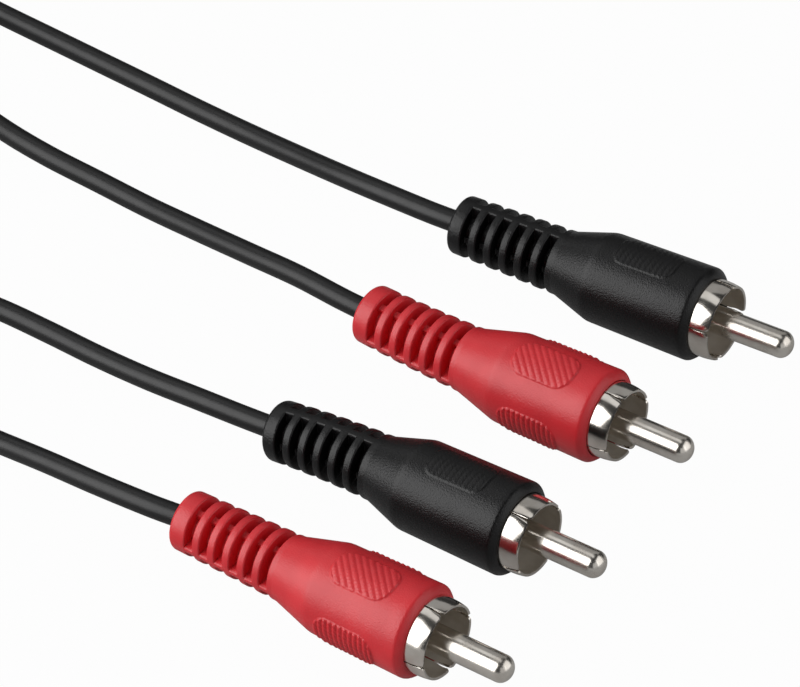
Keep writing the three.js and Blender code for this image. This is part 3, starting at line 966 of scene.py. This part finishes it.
def ribbed(given, u, v, along):
    """Ribs from 0 to 1, u along the plug and v across it, with fine slanting cuts over them."""
    ribs = abs((along * math.pi / given["Rib Pitch"]).sin())
    cuts = abs(((u + v) * (math.pi / math.sqrt(2)) / given["Cut Pitch"]).sin())
    return ribs * (1 - given["Cut Share"] * (1 - cuts))


print("sizes that the tree takes:", len(MOULDING_SIZES))

# %% The moulding's tree
QUARTER = 0.7                    # a sine or cosine above this lies in a quarter of the turn


def moulding_tree(name, material):
    graph, given = new_tree(name, MOULDING_SIZES)
    x, a, r = graph.parts(graph.node("GeometryNodeInputPosition"))
    u = x - given["Pad Middle"]
    shifted = a + given["Far Pad Turn"]
    across, side = r * a.cos(), r * shifted.sin()
    ring_height = given["Pad Base"] + given["Rib Height"] * ribbed(given, u, across, u)
    slant = (u - side) * (1 / math.sqrt(2))
    slant_height = given["Far Pad Base"] + given["Far Rib Height"] * ribbed(given, u, side, slant)
    pads = pad_rise(given, u, across, ring_height) * abs(a.sin()).above(QUARTER)
    far_pad = pad_rise(given, u, side, slant_height) * shifted.cos().above(QUARTER)
    on_body = r.above(BODY_R - 0.2)
    reach = slotted_radius(given, x, a, r) + (pads + far_pad) * on_body
    shaped = graph.node("GeometryNodeSetPosition", None, {
        "Geometry": given["Geometry"], "Position": graph.point(x, reach * a.cos(), reach * a.sin()),
    })
    return close_tree(graph, shaped, material)


MOULDING_TREES = {
    "black": moulding_tree("black_moulding", BLACK_PVC),
    "red": moulding_tree("red_moulding", RED_PVC),
}


def add_moulding(plug):
    colour = plug["name"].split("_")[-1]
    mould = MOULD_SIZES[colour]
    flat = sheet(moulding_profile(mould), MOULDING_ANGLES)
    mesh = grown(flat, MOULDING_TREES[colour], {**MOULDING_SIZES, **mould})
    place_in_row(mesh, plug, plug["roll"], rolled=True)
    name = f"{plug['name']}_body"
    return add_piece(name, mesh, f"{colour}_moulding", f"{plug['name']}_moulding")


for plug in PLUGS:
    print(plug["name"], "moulding faces:", len(add_moulding(plug).data.polygons))

# %% [markdown]
# ## The ground shells
#
# The ground contact is a cup of thin nickel plated sheet with four slits, which leave four
# petals that spring against the socket. Inside the moulding it closes to a narrow neck with a
# solder tab. The petals repeat, so Geometry Nodes make one quarter four times, lean each petal
# by a small amount of its own, roll them up and merge their seams. A Solidify modifier gives the
# sheet its thickness, inwards, and a Bevel breaks its edges.

# %% Profile of a ground shell
SHELL_R = 4.52
SHELL_FRONT, SHELL_REAR = 35.25, 25.2
SHELL_EDGE = 0.3                 # rounding of the cup's rear edge
SHEET, SHEET_EDGE = 0.28, 0.05      # thickness of the sheet, and the bevel along its edges
SLIT_REAR = 30.2
CURL_START, CURL_R, CURL_TURN = 33.55, 7.8, 12.6       # the petals' front ends curl inwards
NECK_R, NECK_REAR = 3.1, 22
TAB_REAR, TAB_WIDTH = 18, 2.6
SHELL_SIZES = {
    "Slit Rear": SLIT_REAR, "Slit Width": 0.2, "Shell Front": SHELL_FRONT, "Lean": 0.11,
    "Petal Corner": 0.5, "Neck Rear": NECK_REAR, "Tab Width": TAB_WIDTH, "Petals": 4, "Seed": 3,
}


def shell_profile():
    """From the tab forwards along the outside of the sheet."""
    back = [(x, NECK_R) for x in np.linspace(TAB_REAR, SHELL_REAR, 8)]
    wall = [(SHELL_REAR, NECK_R + 0.7), (SHELL_REAR, SHELL_R - SHELL_EDGE)]
    corner = arc(SHELL_REAR + SHELL_EDGE, SHELL_R - SHELL_EDGE, SHELL_EDGE, SHELL_EDGE, -60, 0, 3)
    cup = [(x, SHELL_R) for x in (27, 29, 30.1, SLIT_REAR, 30.35, 31, 32, 33)]
    curl = arc(CURL_START, SHELL_R - CURL_R, CURL_R, CURL_R, 0, CURL_TURN, 8)
    return back + wall + corner + cup + curl


def petal_angles():
    """Across one quarter of the shell, closer together at the petal's round corners."""
    edge = (40.4, 42.2, 43.6, 44.6, 45)
    return np.radians([*(-a for a in reversed(edge)), *np.linspace(-38, 38, 20), *edge])


print("a quarter of a shell, along and round:", len(shell_profile()), len(petal_angles()))


# %% The tree of the ground shells
def shell_tree():
    graph, given = new_tree("ground_shell", SHELL_SIZES)
    copies = graph.node("GeometryNodeMeshLine", None, {"Count": given["Petals"], "Offset": (0, 0, 0)})
    quarters = graph.node("GeometryNodeInstanceOnPoints", None, {
        "Points": copies, "Instance": given["Geometry"],
    })
    number = graph.node("GeometryNodeInputIndex")
    marked = graph.node("GeometryNodeStoreNamedAttribute", {"domain": "INSTANCE"}, {
        "Geometry": quarters, "Name": "petal", "Value": number,
    })
    flat = graph.node("GeometryNodeRealizeInstances", None, {"Geometry": marked})
    petal = graph.node("GeometryNodeInputNamedAttribute", {"data_type": "FLOAT"}, {"Name": "petal"})
    # This node has a Min, a Max and a Value of each data type: 2, 3 and output 1 are the floats.
    chance = graph.node("FunctionNodeRandomValue", {"data_type": "FLOAT"}, {
        2: -1.0, 3: 1.0, "ID": petal, "Seed": given["Seed"],
    }, output=1)
    x, a, r = graph.parts(graph.node("GeometryNodeInputPosition"))
    loose = x.above(given["Slit Rear"] + 0.01)
    forward = (x - given["Slit Rear"]) / (given["Shell Front"] - given["Slit Rear"])
    narrow = 1 - loose * given["Slit Width"] / (2 * SHELL_R * math.pi / 4)
    reach = r + loose * forward * given["Lean"] * chance
    turn = a * narrow + (petal + 0.5) * (math.pi / 2)
    corner = given["Petal Corner"]
    short = (corner - SHELL_R * (math.pi / 4 - abs(a))).higher(0)
    drawn_in = (corner - (corner * corner - short * short).root()) * loose * forward
    rolled = graph.node("GeometryNodeSetPosition", None, {
        "Geometry": flat, "Position": graph.point(x - drawn_in, reach * turn.cos(), reach * turn.sin()),
    })
    x, y, z = graph.parts(graph.node("GeometryNodeInputPosition"))
    beside_tab = (abs(y).above(given["Tab Width"] / 2) + z.below(0)).lower(1)
    cut = x.below(given["Neck Rear"]) * beside_tab
    trimmed = graph.node("GeometryNodeDeleteGeometry", {"domain": "FACE"}, {
        "Geometry": rolled, "Selection": cut,
    })
    merged = graph.node("GeometryNodeMergeByDistance", None, {"Geometry": trimmed, "Distance": 0.001})
    return close_tree(graph, merged, NICKEL)


SHELL_TREE = shell_tree()
print("nodes in the tree:", len(SHELL_TREE.nodes))


# %% Ground shells
def add_ground_shell(plug, seed):
    quarter = sheet(shell_profile(), petal_angles(), closed_profile=False, closed_round=False)
    mesh = grown(quarter, SHELL_TREE, {**SHELL_SIZES, "Seed": seed})
    place_in_row(mesh, plug, plug["slits"], rolled=True)
    name = f"{plug['name']}_shell"
    shell = add_piece(name, mesh, "nickel", f"{plug['name']}_ground_shell")
    # The inner faces get the lighter inside plating, which is painted light in the cup.
    mesh.materials.append(NICKEL_INSIDE_PAINTED_LIGHTER)
    thick = shell.modifiers.new("sheet", "SOLIDIFY")
    thick.thickness = SHEET * MM
    thick.offset = -1
    thick.material_offset = 1
    edge = shell.modifiers.new("edge", "BEVEL")
    edge.width = SHEET_EDGE * MM
    edge.segments = 2
    edge.limit_method = "ANGLE"
    return shell


for seed, plug in enumerate(PLUGS):
    print(plug["name"], "shell faces:", len(add_ground_shell(plug, seed).data.polygons))

# %% [markdown]
# ## Pins and insulators
#
# The centre pin is turned from brass rod and plated: 3.2 mm thick, with a domed tip, and a
# solder cup at its hidden end. The insulator is a dark disc with a spigot that holds it in the
# middle of the shell. Both are plain turned pieces, so their profiles are rolled up directly.
# The profiles close on themselves, and the pin's meets the axis at both ends, where the points
# of a ring fall together and are merged.

# %% Pins and insulators
PIN_R, PIN_REAR = 1.6, 19.8
TIP_LENGTH = 1.35
TAIL_R, CUP_R, CUP_DEPTH = 1.2, 0.88, 2.6
PIN_CHAMFER, CUP_CHAMFER = 0.05, 0.1
DISC_FRONT, DISC_EDGE = 28.6, 0.25
RECESS_R, RECESS_DEPTH = 2.52, 0.35     # a shallow ring round the pin, in the front of the disc
EVEN_ANGLES = np.linspace(0, 2 * math.pi, 96, endpoint=False)


def pin_profile():
    cup_end = PIN_REAR + CUP_DEPTH
    tip = arc(PIN_TIP - TIP_LENGTH, 0, TIP_LENGTH, PIN_R, 0, 90, 20)
    return [
        (cup_end, 0), (cup_end, CUP_R - CUP_CHAMFER), (cup_end - CUP_CHAMFER, CUP_R),
        (PIN_REAR + PIN_CHAMFER, CUP_R), (PIN_REAR, CUP_R + PIN_CHAMFER),
        (PIN_REAR, TAIL_R - PIN_CHAMFER), (PIN_REAR + PIN_CHAMFER, TAIL_R),
        (22.8, TAIL_R), (23.2, PIN_R), (24, PIN_R), (30, PIN_R), (36, PIN_R), *tip,
    ]


def insulator_profile():
    bore, spigot, disc = PIN_R + 0.02, NECK_R - SHEET - 0.05, SHELL_R - SHEET - 0.02
    rear, step, front = NECK_REAR + 0.3, SHELL_REAR + SHEET + 0.05, DISC_FRONT
    recess = front - RECESS_DEPTH
    return [
        (rear, bore), (rear, spigot - 0.1), (rear + 0.1, spigot), (step, spigot),
        (step, disc - 0.1), (step + 0.1, disc),
        *arc(front - DISC_EDGE, disc - DISC_EDGE, DISC_EDGE, DISC_EDGE, 0, 90, 4),
        (front, RECESS_R), (recess, RECESS_R - 0.2), (recess, bore + 0.1), (recess - 0.1, bore),
    ]


def add_turned(name, points, material, plug, slot, node):
    mesh = sheet(points, EVEN_ANGLES)
    place_in_row(mesh, plug, 0)
    welded = bmesh.new()
    welded.from_mesh(mesh)
    bmesh.ops.remove_doubles(welded, verts=welded.verts, dist=1e-7)
    welded.to_mesh(mesh)
    welded.free()
    mesh.materials.append(material)
    return add_piece(name, mesh, slot, node)


for plug in PLUGS:
    name = plug["name"]
    add_turned(f"{name}_pin", pin_profile(), NICKEL_PIN, plug, "nickel", f"{name}_centre_pin")
    add_turned(
        f"{name}_disc", insulator_profile(), INSULATOR, plug, "insulator", f"{name}_insulator")
print("tip of the first pin, mm:", round(seated([(PIN_TIP, 0, 0)], PLUGS[0])[0][0], 2))

# %% [markdown]
# ## Hidden wires
#
# Behind the contacts, the white inner wire ends in the pin's cup and the twisted shield runs to
# the tab. Their solids have the right shape already. They only need a material, which goes into
# the material slot of each solid's own object.

# %% Hidden wires
for plug in PLUGS:
    for part, material in (("signal_wire", WIRE_WHITE), ("shield_tail", COPPER)):
        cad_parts[f"{plug['name']}_{part}"].material_slots[0].material = material
print("wires dressed:", 2 * len(PLUGS))

# %% [markdown]
# ## Floor and light
#
# The floor is plain and pale. To the camera it mostly glows in even white, and the nickel mirrors
# a little of that glow. The rest of it is an ordinary diffuse white that keeps the cable's shadow.
#
# Gloss is mostly what it reflects, so the lamps are placed by what the nickel shows: a tall
# bright panel in front on the left, dimmer ones on the right, behind and above, and dark gaps
# between them.

# %% Floor
FLOOR_GLOW = 0.975               # share of the even white in what the camera sees
MIRRORED_GLOW = 0.1              # and in what glossy surfaces mirror
FLOOR_HALF = 6                   # half of the floor's side, in metres


def add_floor():
    material, graph, place = new_material("floor_white")
    light_path = graph.tree.nodes.new("ShaderNodeLightPath")
    seen, mirrored, through = (
        Value(graph, light_path.outputs[f"Is {kind} Ray"])
        for kind in ("Camera", "Glossy", "Transmission"))
    mottle = noise(graph, place, 20 * MM)
    paper = graph.node("ShaderNodeBsdfDiffuse", None, {
        "Color": mix_colour(graph, mottle, linear(172, 172, 172), linear(164, 164, 164)),
    })
    glow = graph.node("ShaderNodeEmission", None, {"Color": (1, 1, 1, 1), "Strength": 1.0})
    share = (FLOOR_GLOW * (seen + through) + MIRRORED_GLOW * mirrored).lower(FLOOR_GLOW)
    both = graph.node("ShaderNodeMixShader", None, {0: share, 1: paper, 2: glow})
    graph.node("ShaderNodeOutputMaterial", None, {"Surface": both})
    mesh = bpy.data.meshes.new("floor")
    corners = [(FLOOR_HALF * x, FLOOR_HALF * y, 0) for x, y in ((-1, -1), (1, -1), (1, 1), (-1, 1))]
    mesh.from_pydata(corners, [], [(0, 1, 2, 3)])
    mesh.materials.append(material)
    floor = bpy.data.objects.new("floor", mesh)
    bpy.context.scene.collection.objects.link(floor)
    return floor


print("floor:", add_floor().name)


# %% Lamps
def add_panel(name, towards, distance, width, height, radiance):
    """A rectangular lamp that faces the plugs. Its power follows from how bright it should look."""
    lamp = bpy.data.lights.new(name, "AREA")
    lamp.shape = "RECTANGLE"
    lamp.size, lamp.size_y = width, height
    lamp.energy = radiance * math.pi * width * height
    panel = bpy.data.objects.new(name, lamp)
    away = Vector(towards).normalized()
    panel.location = away * distance
    panel.rotation_mode = "QUATERNION"
    panel.rotation_quaternion = away.to_track_quat("Z", "Y")
    panel.visible_camera = False
    bpy.context.scene.collection.objects.link(panel)
    return panel


def add_world(grey):
    world = bpy.data.worlds.new("studio")
    world.use_nodes = True
    world.node_tree.nodes["Background"].inputs["Color"].default_value = (grey, grey, grey, 1)
    bpy.context.scene.world = world


# Each panel's direction, then its distance, width and height in metres, and how bright it looks.
PANELS = [
    add_panel("key", (-0.62, -0.665, 0.42), 0.7, 0.74, 0.9, 3.5),
    add_panel("top", (-0.44, 0.17, 0.88), 0.8, 0.3, 1.1, 0.75),
    add_panel("rear", (-0.44, 0.6, 0.67), 0.8, 1.1, 0.5, 0.3),
    add_panel("right", (0.84, 0.29, 0.46), 0.8, 0.85, 0.85, 1.2),
    add_panel("fill", (0.82, -0.42, 0.28), 0.9, 0.8, 0.7, 0.5),
]
WORLD_GREY = 0.035
add_world(WORLD_GREY)
print("lamps, watts:", [round(panel.data.energy, 2) for panel in PANELS])

# %% [markdown]
# ## Finish
#
# The Standard view shows colours as they are written.

# %% Finish
bpy.context.scene.view_settings.view_transform = "Standard"
